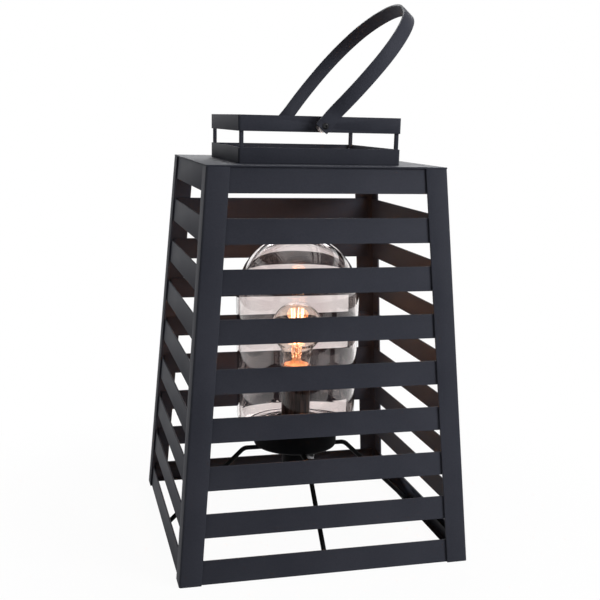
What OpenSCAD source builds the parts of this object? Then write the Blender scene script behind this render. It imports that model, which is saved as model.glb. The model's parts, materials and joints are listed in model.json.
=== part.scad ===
// Lantern table lamp: a tapered steel cage of four corner posts and nine slats a side,
// with a clear glass shade over a bulb inside, and a carry handle that swings on the rim.
// Millimetres. The origin is on the ground under the middle of the lamp, and +Z is up.
// The front is towards -Y.

/* [Body] */
// Width of the square foot, over the corner posts
base_w = 300; // [270:1:330]
// Width of the square head, over the corner posts
top_w = 234; // [220:1:250]
// Height from the ground to the upper face of the top plate
body_h = 400; // [370:1:440]
// Width of each flange of a corner post
post_flange = 22; // [16:1:28]
// Sheet thickness of a corner post
post_t = 2; // [1:0.25:3]

/* [Slats] */
// Slats on each side
slat_count = 9; // [6:1:9]
// Upright height of a slat
slat_h = 24; // [18:1:28]
// Sheet thickness of a slat
slat_t = 1.5; // [1:0.25:2.5]
// How far each slat end stops short of the cage's outer edge
slat_end = 8; // [6:0.5:12]
// Height of the lowest slat's edge above the ground
slat_foot = 0.3; // [0:0.1:3]
// Width of the stiffening fold on the lowest slats, inside the sheet
fold_w = 5; // [4:0.5:10]

/* [Top] */
// Thickness of the top plate
plate_t = 1.5; // [1:0.25:3]
// Outer width of the square collar and of the rim above it
collar_w = 162; // [158:1:172]
// Thickness of the collar and rim strips
collar_t = 1.5; // [1:0.25:2.5]
// Height of the collar strip
collar_h = 15; // [10:0.5:18]
// Open gap between the collar and the rim
gallery_gap = 15; // [10:0.5:20]
// Height of the rim strip
rim_h = 15; // [12:0.5:20]
// Outer radius of the bent corners of the collar and rim
collar_bend_r = 2.5; // [2:0.1:4]
// Width of the four square pillars in the corners
pillar_w = 3.8; // [3:0.1:5]
// How far the pillars stop below the rim's upper edge
pillar_drop = 2; // [0.5:0.5:4]

/* [Carry handle] */
// Width of the handle's strip
handle_w = 14; // [12:0.5:15]
// Thickness of the handle's strip
handle_t = 2.5; // [2:0.25:3.5]
// Height of the handle's top above its pivot
handle_h = 154.1; // [150:0.1:160]
// Widest half-width of the handle, over its outer faces
handle_half_w = 107.5; // [104:0.5:112]
// Height above the pivot at which the handle is widest
handle_wide_z = 71.6; // [66:0.1:74]
// Radius of the handle's two shoulders
handle_shoulder_r = 75; // [60:1:76]
// Radius of the bend above each flat end
handle_bend_r = 30; // [20:1:36]
// Length of flat strip above the pivot
handle_flat = 9.1; // [7:0.1:12]
// Length of strip below the pivot
handle_tail = 4.5; // [4:0.1:7]
// How far the pivot lies off the strip's middle line
handle_shift = 1; // [0:0.1:2]
// How far the pivot lies below the middle of the rim
pivot_drop = 1.5; // [0:0.1:2]
// Angle to which the handle is swung over at rest, from upright
handle_tilt = 40.7; // [0:0.1:90]
// Distance of each handle end from the rim
spacer_l = 11.5; // [8:0.5:13]
// Outer radius of the spacer tubes
spacer_r = 5.8; // [5:0.1:6]
// Shank radius of the pivot rivets
rivet_r = 2; // [1.5:0.1:2.5]
// Head radius of the pivot rivets
rivet_head_r = 3.2; // [3:0.1:4.5]
// Height of the domed rivet head
rivet_head_h = 1.6; // [1.2:0.1:2.5]
// Radius of the hollow in the rivet head
rivet_hollow_r = 1.4; // [0.8:0.1:1.6]
// Depth of the hollow, from the top of the rivet head
rivet_hollow_d = 1.2; // [0.6:0.1:1.6]
// Radius of the clinched rivet end inside the rim
clinch_r = 3.5; // [3:0.1:4.5]
// Thickness of the clinched rivet end
clinch_t = 1.2; // [0.8:0.1:2]

/* [Glass shade] */
// Outer radius of the shade's domed head
glass_r = 66.5; // [62:0.5:70]
// Height of the middle of the dome above the shade's flat bottom
glass_h = 148; // [130:0.5:165]
// Outer radius at the foot of the straight wall
glass_foot_r = 65; // [60:0.5:66]
// Radius of the rounded heel
glass_heel_r = 12; // [8:0.5:16]
// Wall thickness of the glass
glass_t = 2.5; // [1.5:0.25:4]
// Outer radius of the lip that keeps the shade centred in the dish
glass_lip_r = 43.3; // [38:0.1:43.3]
// Height of the lip below the shade's flat bottom
glass_lip_h = 4; // [2.5:0.25:8]
// Radius of the bend between the lip and the shade's bottom
glass_lip_bend = 1; // [0.5:0.1:1.1]

/* [Dish and hub] */
// Height of the dish floor's underside above the ground
dish_z = 89.5; // [80:0.5:100]
// Outer radius of the dish
dish_r = 46; // [45:0.5:48]
// Outer height of the dish, on whose rim the shade stands
dish_h = 18.5; // [14:0.5:24]
// Radius of the dish's rounded heel
dish_heel_r = 3; // [2.5:0.25:8]
// Thickness of the dish wall
dish_t = 1.5; // [1:0.25:1.5]
// Thickness of the dish floor
dish_floor_t = 2; // [1.5:0.25:2.75]
// Radius of the hub under the dish
hub_r = 14; // [11:0.5:18]
// Height of the hub
hub_h = 27.5; // [22:0.5:31]
// Outer radius of the threaded tube that holds hub, dish and lampholder together
nipple_r = 5; // [4:0.25:5.5]
// Bore radius of the threaded tube
nipple_bore_r = 3.5; // [2.5:0.25:3.75]
// Thickness of the lock nut
nut_t = 3; // [2:0.5:4]
// Width across the flats of the lock nut
nut_af = 14; // [12.5:0.5:18]
// Radius of the set screw's shank
set_screw_r = 2; // [1.5:0.25:2.5]
// Radius of the set screw's head
set_screw_head_r = 3; // [2.75:0.25:4]
// Length of the set screw's head
set_screw_head_l = 8; // [5:0.5:10]
// Height of the set screw above the hub's underside
set_screw_h = 13; // [8:0.5:14]
// Direction of the set screw, anticlockwise from +X
set_screw_turn = -24; // [-60:1:-20]
// Radius of the cord gland
gland_r = 8; // [7.5:0.25:10]
// Height of the cord gland
gland_h = 8; // [7:0.5:12]
// Radius of the cord hole in the gland
gland_bore_r = 3.6; // [3:0.1:4.5]

/* [Legs] */
// Radius of the round rods that carry the dish
leg_r = 2.5; // [1.5:0.25:3]
// Distance of the rods' bend from the lamp's axis
leg_bend_x = 58; // [54:0.5:68]
// Radius of the bend in a rod
leg_bend_r = 10; // [7:0.5:16]
// How much the rod swells where it is bent
leg_swell = 0.05; // [0.03:0.01:0.1]

/* [Lampholder and bulb] */
// Outer radius of the lampholder
holder_r = 15.75; // [15.5:0.25:18]
// Wall thickness of the lampholder
holder_t = 1; // [0.8:0.1:1.2]
// Height of the lampholder
holder_h = 88.5; // [80:0.5:92]
// How far the lip round the lampholder's mouth stands out
holder_lip_w = 1; // [0.5:0.25:3]
// Height of the lip
holder_lip_h = 3; // [1:0.25:6]
// Thickness of the lampholder's floor
holder_floor_t = 2.5; // [2:0.25:4]
// How far the insert stops below the lampholder's mouth
insert_drop = 2; // [1:0.25:4]
// Radius of the insert's socket
socket_r = 13.5; // [13.3:0.1:13.8]
// Depth of the insert's socket
socket_d = 27; // [26:0.5:32]
// Thickness of the insert's contact floor
contact_t = 6; // [4:0.5:9]
// Radius of the wiring space below the insert's contact floor
wiring_r = 12; // [10.5:0.25:12.5]
// Crest radius of the bulb's screw cap
cap_r = 13.1; // [12.9:0.05:13.15]
// Height of the bulb's screw cap, without its contact
cap_h = 24; // [22:0.5:25.5]
// Height of the contact and insulator under the cap
cap_tip_h = 5; // [4:0.25:6]
// Pitch of the cap's rounded thread
cap_pitch = 3.6; // [3:0.1:4]
// Depth of the cap's thread
cap_thread_d = 0.7; // [0.4:0.1:0.9]
// Radius of the bulb
bulb_r = 28; // [26:0.5:31]
// Height of the bulb's middle above its cap
bulb_h = 41.5; // [39:0.5:46]
// Radius of the bulb's neck
bulb_neck_r = 16.6; // [15.5:0.1:17.5]
// Radius of the bulb's glass at its cap
bulb_foot_r = 14.5; // [13.5:0.1:14.7]
// Radius of the curve between the neck and the bulb
bulb_bend_r = 14; // [11:1:17]
// Glass thickness of the bulb
bulb_t = 1; // [0.6:0.1:1.5]
// Number of filament sticks
filament_count = 6; // [4:1:8]
// Radius of a filament stick
filament_r = 0.9; // [0.6:0.1:1.2]
// Height of the upper filament ring above the cap
filament_h = 58; // [48:1:61]
// Radius of the ring of sticks
filament_ring_r = 7; // [5:0.25:9]
// Height of the filament's glass stem above the cap
stem_h = 9; // [6:0.5:20]
// Radius of the filament's glass stem
stem_r = 4; // [3:0.25:5]

/* [Fits] */
// Gap between parts that are assembled face beside face
fit_gap = 0.2; // [0.1:0.05:0.3]
// Radial running clearance of the handle on its rivets
run_gap = 0.08; // [0.02:0.01:0.1]
// Gap between the folds where two sides meet
corner_gap = 0.4; // [0.2:0.1:1]

/* [Hidden] */
SIDES = [["front", 0], ["right", 90], ["back", 180], ["left", 270]];
CORNERS = [["front_left", 0], ["front_right", 90], ["back_right", 180], ["back_left", 270]];
LEGS = [["front", -90], ["left", 180], ["right", 0]];
SLAT_NODES = [for (side = SIDES) for (i = [1 : slat_count]) str("slat_", side[0], "_", i)];
$fn = 96;

// Amount by which a cutting shape runs past the face it cuts
cut = 1;

// How far the sides lean in, and the level depth of their sheets
lean = atan((base_w - top_w) / 2 / body_h);
post_depth = post_t / cos(lean);
slat_depth = slat_t / cos(lean);
sheet_depth = post_depth + slat_depth;
plate_z = body_h - plate_t;
slat_pitch = (plate_z - slat_foot - slat_h) / (slat_count - 1);
fold_top = slat_foot + slat_t;

// Levels and widths of the gallery on the top plate
rim_z = body_h + collar_h + gallery_gap;
rim_top = rim_z + rim_h;
collar_in_w = collar_w - 2 * collar_t;
opening_w = collar_in_w - 2 * pillar_w;

// The handle's outline: flat end, bend, long leg arc, shoulder and top arc
pivot_z = rim_z + rim_h / 2 - pivot_drop;
handle_y = collar_w / 2 + spacer_l + handle_t;
handle_flare = handle_half_w - handle_y;
handle_rise = handle_wide_z - handle_flat;
leg_arc_r = (pow(handle_flare, 2) + pow(handle_rise, 2)) / (2 * handle_flare) - handle_bend_r;
crown_h = handle_h - handle_wide_z;
shoulder_x = handle_half_w - handle_shoulder_r;
crown_r = (pow(shoulder_x, 2) + pow(crown_h, 2) - pow(handle_shoulder_r, 2))
    / (2 * (crown_h - handle_shoulder_r));
shoulder_turn = atan2(crown_r - crown_h, shoulder_x);

// Levels of the parts on the dish
dish_floor_z = dish_z + dish_floor_t;
glass_floor_z = dish_z + dish_h;
glass_dome_z = glass_floor_z + glass_h;
glass_lip_z = glass_floor_z - glass_lip_h;
holder_top = dish_floor_z + holder_h;
insert_top = holder_top - insert_drop;
insert_r = holder_r - holder_t - fit_gap;
socket_z = insert_top - socket_d;
cap_z = socket_z + cap_tip_h;
bulb_foot_z = cap_z + cap_h;
bulb_z = bulb_foot_z + bulb_h;
bulb_bend_x = bulb_neck_r + bulb_bend_r;
bulb_neck_z = bulb_z - sqrt(pow(bulb_r + bulb_bend_r, 2) - pow(bulb_bend_x, 2));

// Levels of the parts under the dish
stem_hole_r = nipple_r + fit_gap;
hub_z = dish_z - hub_h;
gland_z = hub_z - gland_h;
nipple_low = gland_z + gland_h / 2;
nipple_top = dish_floor_z + holder_floor_t + nut_t + 2;

// The rods run out level under the dish, bend down and land in the fold of the lowest slat
leg_z = dish_z - fit_gap / 2 - leg_r;
leg_foot_z = fold_top + leg_r;
leg_foot_x = half_w(leg_foot_z) - sheet_depth - leg_r;
leg_slope = atan((leg_z - leg_foot_z) / (leg_foot_x - leg_bend_x));
leg_bend_in = leg_bend_r * tan(leg_slope / 2);
leg_lap = 0.3;

cage_grey = [0.20, 0.21, 0.23];
dark_metal = [0.12, 0.12, 0.13];
bare_steel = [0.78, 0.75, 0.74];

// Half-width of the cage over its posts, at height z
function half_w(z) = (base_w + (top_w - base_w) * z / body_h) / 2;

// Block that leans in on its left and right, inset from the cage's outside
module leaning_block(inset, z_low, z_high) {
    x_low = half_w(z_low) - inset;
    x_high = half_w(z_high) - inset;
    rotate([90, 0, 0])
        linear_extrude(height = 2 * base_w, center = true)
            polygon([[-x_low, z_low], [x_low, z_low], [x_high, z_high], [-x_high, z_high]]);
}

// Block that leans in on all four sides
module cage_block(inset, z_low, z_high) {
    intersection() {
        leaning_block(inset, z_low, z_high);
        rotate([0, 0, 90]) leaning_block(inset, z_low, z_high);
    }
}

// Corner post: a folded angle that leans with both of its sides
module post() {
    color(cage_grey)
        intersection() {
            difference() {
                cage_block(0, 0, plate_z);
                cage_block(post_depth, -cut, plate_z + cut);
                leaning_block(post_flange, -cut, plate_z + cut);
                rotate([0, 0, 90]) leaning_block(post_flange, -cut, plate_z + cut);
            }
            translate([-base_w, -base_w, -cut]) cube([base_w, base_w, body_h + 2 * cut]);
        }
}

// Front slat number i, counted from the top; the lowest has a fold along its foot
module slat(i) {
    z_low = slat_foot + (slat_count - i) * slat_pitch;
    z_high = z_low + slat_h;
    length = 2 * (half_w((z_low + z_high) / 2) - slat_end);
    y_low = half_w(z_low) - post_depth;
    y_high = half_w(z_high) - post_depth;
    color(cage_grey)
        union() {
            rotate([90, 0, 90])
                linear_extrude(height = length, center = true)
                    polygon([
                        [-y_low, z_low],
                        [-y_low + slat_depth, z_low],
                        [-y_high + slat_depth, z_high],
                        [-y_high, z_high]
                    ]);
            if (i == slat_count)
                translate([0, 0, slat_foot])
                    linear_extrude(height = slat_t) foot_fold(y_low - slat_depth / 2, length);
        }
}

// Plan of the fold on a lowest slat, mitred where it meets its neighbours
module foot_fold(y_out, length) {
    y_in = half_w(slat_foot) - sheet_depth - fold_w;
    intersection() {
        translate([-length / 2, -y_out]) square([length, y_out - y_in]);
        polygon([
            [-y_out + corner_gap, -y_out],
            [y_out - corner_gap, -y_out],
            [y_in - corner_gap, -y_in],
            [-y_in + corner_gap, -y_in]
        ]);
    }
}

module top_plate() {
    color(cage_grey)
        translate([0, 0, plate_z])
            linear_extrude(height = plate_t)
                difference() {
                    square(top_w, center = true);
                    square(opening_w, center = true);
                }
}

// Square with rounded corners
module rounded_square(width, corner_r) {
    flat_w = width - 2 * corner_r;
    square([width, flat_w], center = true);
    square([flat_w, width], center = true);
    for (x = [-1, 1], y = [-1, 1])
        translate([x, y] * flat_w / 2) circle(r = corner_r);
}

// Space inside the collar and rim, with the inner radius of their bends
module band_inside() {
    rounded_square(collar_in_w, collar_bend_r - collar_t);
}

// Square band of the collar and rim, bent from strip
module band(height) {
    linear_extrude(height = height)
        difference() {
            rounded_square(collar_w, collar_bend_r);
            band_inside();
        }
}

module collar() {
    color(cage_grey) translate([0, 0, body_h]) band(collar_h);
}

module rim() {
    color(cage_grey)
        difference() {
            translate([0, 0, rim_z]) band(rim_h);
            translate([0, 0, pivot_z])
                rotate([90, 0, 0])
                    cylinder(r = rivet_r, h = collar_w + 2 * cut, center = true);
        }
}

// Four square bars that stand on the plate and carry the rim, fitted into its bends
module pillars() {
    height = rim_top - pillar_drop - body_h;
    color(cage_grey)
        for (turn = [0 : 90 : 270])
            rotate([0, 0, turn])
                translate([0, 0, body_h])
                    linear_extrude(height = height)
                        intersection() {
                            band_inside();
                            translate([opening_w / 2, opening_w / 2]) square(pillar_w);
                        }
}

// Right half of the handle's outline below its crown, filled in and inset
module handle_side(inset) {
    leg_x = handle_half_w - leg_arc_r;
    bend_x = handle_y + handle_bend_r;
    translate([0, -handle_tail - inset])
        square([handle_y - inset, handle_tail + inset + handle_flat]);
    intersection() {
        translate([0, handle_flat]) square([handle_half_w, handle_rise]);
        union() {
            difference() {
                polygon([[leg_x, handle_wide_z], [bend_x, handle_flat], [-bend_x, handle_flat]]);
                translate([bend_x, handle_flat]) circle(r = handle_bend_r + inset);
            }
            translate([leg_x, handle_wide_z]) circle(r = leg_arc_r - inset);
        }
    }
    intersection() {
        translate([0, handle_wide_z]) square([handle_half_w, handle_h]);
        translate([shoulder_x, handle_wide_z]) circle(r = handle_shoulder_r - inset);
    }
}

// Outline of the handle in its own plane, filled in and inset, with the pivot at the origin
module handle_outline(inset) {
    crown_z = handle_h - crown_r;
    wedge = 2 * crown_r * [cos(shoulder_turn), sin(shoulder_turn)];
    for (side = [0, 1]) mirror([side, 0]) handle_side(inset);
    translate([0, crown_z])
        intersection() {
            circle(r = crown_r - inset);
            polygon([[0, 0], wedge, [0, 2 * crown_r], [-wedge[0], wedge[1]]]);
        }
}

// One strip of steel, bent to the outline and drilled for its pivots
module handle() {
    color(cage_grey)
        translate([0, 0, pivot_z])
            rotate([0, handle_tilt, 0])
                difference() {
                    translate([-handle_shift, 0, 0])
                        rotate([90, 0, 90])
                            linear_extrude(height = handle_w, center = true)
                                difference() {
                                    handle_outline(0);
                                    handle_outline(handle_t);
                                }
                    rotate([90, 0, 0])
                        cylinder(r = rivet_r + run_gap, h = 2 * handle_half_w, center = true);
                }
}

// Places a part at both pivots, with its own +Z pointing away from the rim
module at_pivots() {
    for (turn = [0, 180])
        rotate([0, 0, turn])
            translate([0, 0, pivot_z]) rotate([90, 0, 0]) children();
}

module handle_spacers() {
    color(bare_steel)
        at_pivots()
            translate([0, 0, collar_w / 2])
                difference() {
                    cylinder(r = spacer_r, h = spacer_l - fit_gap);
                    translate([0, 0, -cut])
                        cylinder(r = rivet_r + run_gap, h = spacer_l + 2 * cut);
                }
}

module handle_rivets() {
    head_z = handle_y + fit_gap;
    shank_z = collar_in_w / 2 - clinch_t;
    head_ball_r = (pow(rivet_head_r, 2) + pow(rivet_head_h, 2)) / (2 * rivet_head_h);
    color(dark_metal)
        at_pivots() {
            translate([0, 0, shank_z]) cylinder(r = rivet_r, h = head_z - shank_z);
            translate([0, 0, shank_z]) cylinder(r = clinch_r, h = clinch_t);
            translate([0, 0, head_z])
                difference() {
                    intersection() {
                        translate([0, 0, rivet_head_h - head_ball_r]) sphere(r = head_ball_r);
                        cylinder(r = rivet_head_r + cut, h = rivet_head_h + cut);
                    }
                    translate([0, 0, rivet_head_h - rivet_hollow_d])
                        cylinder(r = rivet_hollow_r, h = rivet_hollow_d + cut);
                }
        }
}

// Half outline of the shade, or of its hollow when inset by the wall
module glass_outline(inset) {
    heel_x = glass_foot_r - glass_heel_r;
    heel_z = glass_floor_z + glass_heel_r;
    bottom_z = glass_floor_z + inset;
    lip_x = glass_lip_r - inset;
    bend_x = glass_lip_r + glass_lip_bend;
    bend_z = glass_floor_z - glass_lip_bend;
    intersection() {
        translate([0, glass_dome_z]) circle(r = glass_r - inset);
        translate([0, glass_dome_z]) square(glass_r);
    }
    polygon([
        [0, heel_z],
        [glass_foot_r - inset, heel_z],
        [glass_r - inset, glass_dome_z],
        [0, glass_dome_z]
    ]);
    intersection() {
        translate([heel_x, heel_z]) circle(r = glass_heel_r - inset);
        translate([heel_x, glass_floor_z]) square(glass_heel_r);
    }
    translate([0, bottom_z]) square([heel_x, glass_heel_r - inset]);
    translate([0, glass_lip_z - inset]) square([lip_x, glass_lip_h + 2 * inset]);
    difference() {
        translate([lip_x - cut, bend_z]) square([bend_x - lip_x + cut, bottom_z - bend_z]);
        translate([bend_x, bend_z]) circle(r = glass_lip_bend + inset);
    }
}

module glass_shade() {
    color([0.9, 0.86, 0.86, 0.3])
        rotate_extrude()
            difference() {
                glass_outline(0);
                glass_outline(glass_t);
            }
}

// Half outline of the bulb's glass, or of its hollow when inset by the wall
module bulb_outline(inset) {
    intersection() {
        translate([0, bulb_z]) circle(r = bulb_r - inset);
        translate([0, bulb_z - bulb_r]) square([bulb_r, 2 * bulb_r]);
    }
    difference() {
        polygon([[0, bulb_neck_z], [bulb_bend_x, bulb_neck_z], [0, bulb_z]]);
        translate([bulb_bend_x, bulb_neck_z]) circle(r = bulb_bend_r + inset);
    }
    polygon([
        [0, bulb_foot_z - inset],
        [bulb_foot_r - inset, bulb_foot_z - inset],
        [bulb_foot_r - inset, bulb_foot_z],
        [bulb_neck_r - inset, bulb_neck_z],
        [0, bulb_neck_z]
    ]);
}

module bulb_envelope() {
    color([1, 0.9, 0.75, 0.35])
        rotate_extrude()
            difference() {
                bulb_outline(0);
                bulb_outline(bulb_t);
            }
}

// Screw cap with rounded threads, a tapered insulator and a contact
module bulb_cap() {
    turns = floor((cap_h - 2 * cap_pitch) / cap_pitch);
    thread_z = cap_z + (cap_h - turns * cap_pitch) / 2;
    steps = 8 * turns;
    wave = [for (k = [0 : steps]) [
        cap_r - cap_thread_d * (1 + cos(45 * k)) / 2,
        thread_z + k * cap_pitch / 8
    ]];
    color([0.75, 0.66, 0.45])
        rotate_extrude()
            polygon(concat(
                [[0, socket_z], [cap_r * 0.35, socket_z], [cap_r * 0.35, socket_z + cap_tip_h / 3]],
                [[cap_r - 2 * cap_thread_d, cap_z], [cap_r - cap_thread_d, cap_z + cap_thread_d]],
                wave,
                [[cap_r - cap_thread_d, bulb_foot_z], [0, bulb_foot_z]]
            ));
}

// Glass stem, two discs and the glowing sticks between them
module bulb_filament() {
    low_z = bulb_foot_z + stem_h;
    high_z = bulb_foot_z + filament_h;
    disc_r = filament_ring_r + 1.5 * filament_r;
    color([1, 0.6, 0.2])
        union() {
            translate([0, 0, bulb_foot_z]) cylinder(r1 = stem_r + 2, r2 = stem_r, h = stem_h);
            for (z = [low_z, high_z])
                translate([0, 0, z - filament_r]) cylinder(r = disc_r, h = 2 * filament_r);
            for (turn = [0 : 360 / filament_count : 359])
                rotate([0, 0, turn])
                    translate([filament_ring_r, 0, low_z])
                        cylinder(r = filament_r, h = high_z - low_z);
        }
}

// Tube with a lip round its mouth, and a floor with a hole for the threaded tube
module holder_body() {
    color(dark_metal)
        translate([0, 0, dish_floor_z])
            difference() {
                union() {
                    cylinder(r = holder_r, h = holder_h);
                    translate([0, 0, holder_h - holder_lip_h])
                        cylinder(r = holder_r + holder_lip_w, h = holder_lip_h);
                }
                translate([0, 0, holder_floor_t]) cylinder(r = holder_r - holder_t, h = holder_h);
                translate([0, 0, -cut]) cylinder(r = stem_hole_r, h = holder_floor_t + 2 * cut);
            }
}

// Insert with the bulb's socket above its contact floor and a wiring space below
module holder_insert() {
    insert_z = dish_floor_z + holder_floor_t;
    web_z = socket_z - contact_t;
    color([0.85, 0.82, 0.78])
        difference() {
            translate([0, 0, insert_z]) cylinder(r = insert_r, h = insert_top - insert_z);
            translate([0, 0, socket_z]) cylinder(r = socket_r, h = socket_d + cut);
            translate([0, 0, insert_z - cut]) cylinder(r = wiring_r, h = web_z - insert_z + cut);
        }
}

// Half outline of a bowl with an upright wall and a rounded heel, filled in up to the rim
module bowl_outline(wall_r, heel_r, low_z) {
    height = glass_floor_z - low_z;
    translate([0, low_z]) square([wall_r - heel_r, height]);
    translate([0, low_z + heel_r]) square([wall_r, height - heel_r]);
    intersection() {
        translate([wall_r - heel_r, low_z + heel_r]) circle(r = heel_r);
        translate([0, low_z]) square([wall_r, heel_r]);
    }
}

module dish() {
    color(dark_metal)
        rotate_extrude()
            difference() {
                bowl_outline(dish_r, dish_heel_r, dish_z);
                bowl_outline(dish_r - dish_t, dish_heel_r - dish_floor_t, dish_floor_z);
                translate([0, dish_z - cut]) square([stem_hole_r, dish_floor_t + 2 * cut]);
            }
}

// Places a part along the set screw, with its own +Z pointing out of the hub
module at_set_screw() {
    translate([0, 0, hub_z + set_screw_h])
        rotate([0, 90, set_screw_turn]) children();
}

module hub() {
    color(dark_metal)
        difference() {
            translate([0, 0, hub_z]) cylinder(r = hub_r, h = hub_h);
            translate([0, 0, hub_z - cut]) cylinder(r = stem_hole_r, h = hub_h + 2 * cut);
            at_set_screw() cylinder(r = set_screw_r + fit_gap / 2, h = hub_r + cut);
        }
}

// Threaded tube, its lock nut in the lampholder and the set screw in the hub
module stem_fasteners() {
    color(bare_steel) {
        difference() {
            translate([0, 0, nipple_low]) cylinder(r = nipple_r, h = nipple_top - nipple_low);
            translate([0, 0, nipple_low - cut])
                cylinder(r = nipple_bore_r, h = nipple_top - nipple_low + 2 * cut);
        }
        translate([0, 0, dish_floor_z + holder_floor_t])
            difference() {
                cylinder(r = nut_af / sqrt(3), h = nut_t, $fn = 6);
                translate([0, 0, -cut]) cylinder(r = stem_hole_r, h = nut_t + 2 * cut);
            }
        at_set_screw() {
            translate([0, 0, nipple_r + fit_gap / 2])
                cylinder(r = set_screw_r, h = hub_r - nipple_r + cut);
            translate([0, 0, hub_r + fit_gap])
                cylinder(r = set_screw_head_r, h = set_screw_head_l);
        }
    }
}

// Nut on the threaded tube's lower end, with the hole that the cord would leave by
module cord_gland() {
    color(dark_metal)
        difference() {
            translate([0, 0, gland_z]) cylinder(r = gland_r, h = gland_h);
            translate([0, 0, gland_z - cut]) cylinder(r = gland_bore_r, h = gland_h);
            translate([0, 0, nipple_low]) cylinder(r = stem_hole_r, h = gland_h);
        }
}

// Bent rod from the hub to the fold of the lowest slat, drawn towards +X
module leg() {
    reach = base_w / 2;
    start_x = hub_r + fit_gap / 2;
    level_l = leg_bend_x - leg_bend_in - start_x;
    color(dark_metal)
        intersection() {
            union() {
                translate([start_x, 0, leg_z])
                    rotate([0, 90, 0]) cylinder(r = leg_r, h = level_l + leg_lap);
                translate([leg_bend_x - leg_bend_in, 0, leg_z - leg_bend_r])
                    rotate([90, leg_slope - 90, 0]) {
                        rotate_extrude(angle = leg_slope)
                            translate([leg_bend_r, 0]) circle(r = leg_r + leg_swell);
                        translate([leg_bend_r, leg_lap, 0])
                            rotate([90, 0, 0]) cylinder(r = leg_r, h = reach);
                    }
            }
            leaning_block(sheet_depth, 0, body_h);
            translate([0, -reach, fold_top]) cube([2 * reach, 2 * reach, body_h]);
        }
}

for (corner = CORNERS)
    rotate([0, 0, corner[1]]) post();
for (side = SIDES)
    for (i = [1 : slat_count])
        rotate([0, 0, side[1]]) slat(i);
top_plate();
collar();
rim();
pillars();
handle();
handle_spacers();
handle_rivets();
glass_shade();
bulb_envelope();
bulb_cap();
bulb_filament();
holder_body();
holder_insert();
dish();
hub();
stem_fasteners();
cord_gland();
for (leg = LEGS)
    rotate([0, 0, leg[1]]) leg();
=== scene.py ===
"""Looks of the lantern table lamp: slatted cage, carry handle, clear glass shade and lit globe bulb.

Lengths in the classes are millimetres, as in the part's source, and become metres in the meshes.
"""

import json
import logging
import math
from dataclasses import dataclass, field
from enum import Enum
from typing import Dict, Iterable, List, Mapping, Optional, Sequence, Tuple, Union

import bmesh
import bpy
from mathutils import Matrix, Vector

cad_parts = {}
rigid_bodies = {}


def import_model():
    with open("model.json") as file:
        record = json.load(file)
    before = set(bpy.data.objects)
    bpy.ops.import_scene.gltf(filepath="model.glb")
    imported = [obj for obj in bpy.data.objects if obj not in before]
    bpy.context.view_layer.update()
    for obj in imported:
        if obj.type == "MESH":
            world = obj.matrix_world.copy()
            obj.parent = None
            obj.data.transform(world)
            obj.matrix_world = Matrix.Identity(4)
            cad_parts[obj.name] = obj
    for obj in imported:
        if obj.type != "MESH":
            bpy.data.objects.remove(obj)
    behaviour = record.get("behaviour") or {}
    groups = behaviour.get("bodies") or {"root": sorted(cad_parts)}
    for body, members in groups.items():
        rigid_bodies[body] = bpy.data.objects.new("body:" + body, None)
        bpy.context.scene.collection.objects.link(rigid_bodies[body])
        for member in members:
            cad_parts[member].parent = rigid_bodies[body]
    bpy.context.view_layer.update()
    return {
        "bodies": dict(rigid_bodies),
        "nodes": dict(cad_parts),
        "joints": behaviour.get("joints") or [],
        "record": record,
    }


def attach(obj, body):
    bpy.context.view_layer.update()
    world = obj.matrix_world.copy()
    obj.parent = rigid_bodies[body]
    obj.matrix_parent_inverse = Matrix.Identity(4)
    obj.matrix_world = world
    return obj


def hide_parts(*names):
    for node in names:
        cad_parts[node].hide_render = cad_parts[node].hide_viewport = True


LOG = logging.getLogger("lantern")
MM = 0.001
WELD = 2e-6  # Points of a solid that lie closer than this are one, in metres.
FLAT = 0.5  # Faces that turn by less than this are one, in degrees.
SHARP = 32.0  # Edges that turn by more than this get an arris, in degrees.
SIDES = ("front", "right", "back", "left")
CORNERS = ("front_left", "front_right", "back_right", "back_left")

Point = Tuple[float, float]
Span = Tuple[float, float]
Colour = Tuple[float, float, float]
Socket = bpy.types.NodeSocket
Piece = bpy.types.Object
Number = Union["Channel", float]
Entry = Union["Channel", Socket, float, Sequence[float]]

WHITE: Colour = (1.0, 1.0, 1.0)
DAYLIGHT: Colour = (0.97, 0.98, 1.0)
UNLIT: Tuple[Colour, Colour] = ((0.05, 0.03, 0.02), (0.12, 0.08, 0.05))  # What glows, unlit.


class Body(Enum):
    """The bodies that pieces ride on."""

    ROOT = "root"
    HANDLE = "handle"
    SHADE = "shade"
    BULB = "bulb"


class Grain(Enum):
    """The way a surface was worked: how much closer its pattern lies along each axis."""

    CAST = (1.0, 1.0, 1.0)
    TURNED = (1.0, 1.0, 14.0)
    BLOWN = (1.0, 1.0, 0.45)
    VEILED = (1.0, 1.0, 0.35)
    RIPPLED = (1.0, 1.0, 0.2)
    STREAKED = (1.0, 1.0, 0.12)


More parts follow.
